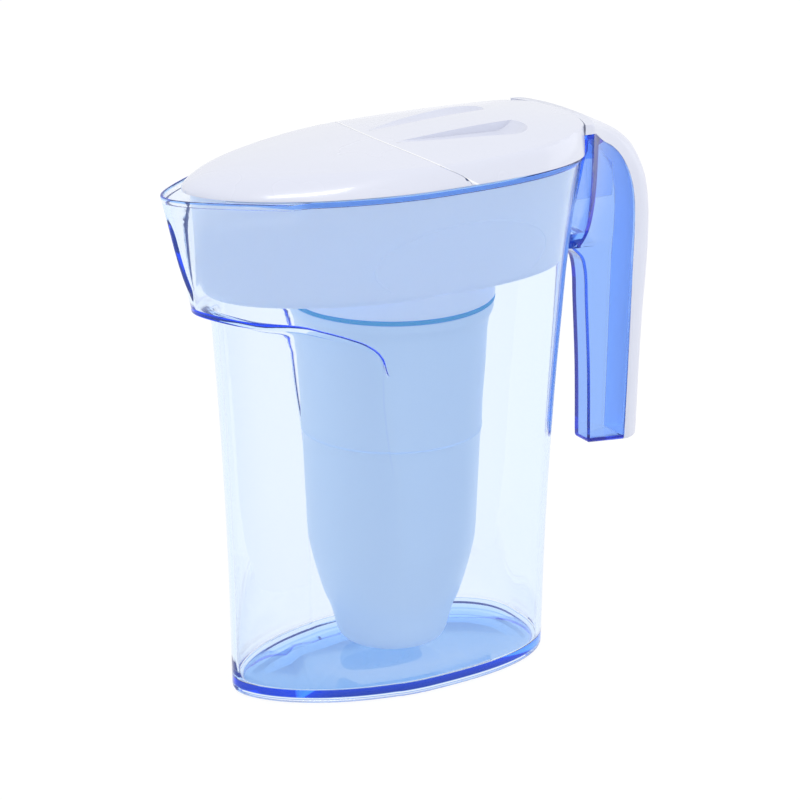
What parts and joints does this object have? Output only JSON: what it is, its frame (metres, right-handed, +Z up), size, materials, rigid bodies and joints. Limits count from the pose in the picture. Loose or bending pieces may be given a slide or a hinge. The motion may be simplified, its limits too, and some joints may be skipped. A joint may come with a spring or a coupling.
{
  "type": "water filter pitcher",
  "caption": "Clear jug with beaked spout, hollow blue handle with white cover, lift-out reservoir, screw-in filter cartridge and a lid with a flip-up half.",
  "frame": {"origin": "on the floor, under the axis of the filter cartridge", "axes": "+Z up, +X from the spout to the handle, +Y across the jug"},
  "size_m": [0.2388, 0.099, 0.2426],
  "materials": {
    "clear_blue": "clear, faintly blue, moulded gloss",
    "handle_blue": "translucent blue, moulded gloss",
    "white_gloss": "soft gloss",
    "reservoir_blue": "milky, pale blue",
    "filter_blue": "satin, pale blue",
    "teal_rubber": "matt",
    "white_mesh": "fine woven mesh",
    "foam_white": "open foam",
    "carbon_black": "granules",
    "resin_amber": "beads"
  },
  "bodies": {
    "jug": {"pitcher_body": "clear_blue", "handle_shell": "handle_blue", "handle_cover": "white_gloss"},
    "reservoir": {"reservoir": "reservoir_blue"},
    "lid": {"lid_front": "white_gloss"},
    "flap": {"lid_flap": "white_gloss"},
    "filter": {"filter_cap": "filter_blue", "filter_housing": "filter_blue", "filter_cup": "filter_blue", "filter_seal": "teal_rubber", "inlet_screen": "white_mesh", "foam_distributor": "foam_white", "carbon_bed": "carbon_black", "resin_bed": "resin_amber", "outlet_screen": "white_mesh", "outlet_membrane": "white_mesh"}
  },
  "joints": [
    {"name": "reservoir_lift", "type": "slide", "parent": "jug", "child": "reservoir", "axis": [0, 0, 1], "range_m": [0, 0.24]},
    {"name": "lid_lift", "type": "slide", "parent": "reservoir", "child": "lid", "axis": [0, 0, 1], "range_m": [0, 0.06]},
    {"name": "flap_hinge", "type": "hinge", "parent": "lid", "child": "flap", "pos_m": [0.009, 0, 0.231], "axis": [0, -1, 0], "range_deg": [0, 48]},
    {"name": "filter_unscrew", "type": "hinge", "parent": "reservoir", "child": "filter", "pos_m": [0, 0, 0.17], "axis": [0, 0, 1], "range_deg": [0, 120]}
  ]
}
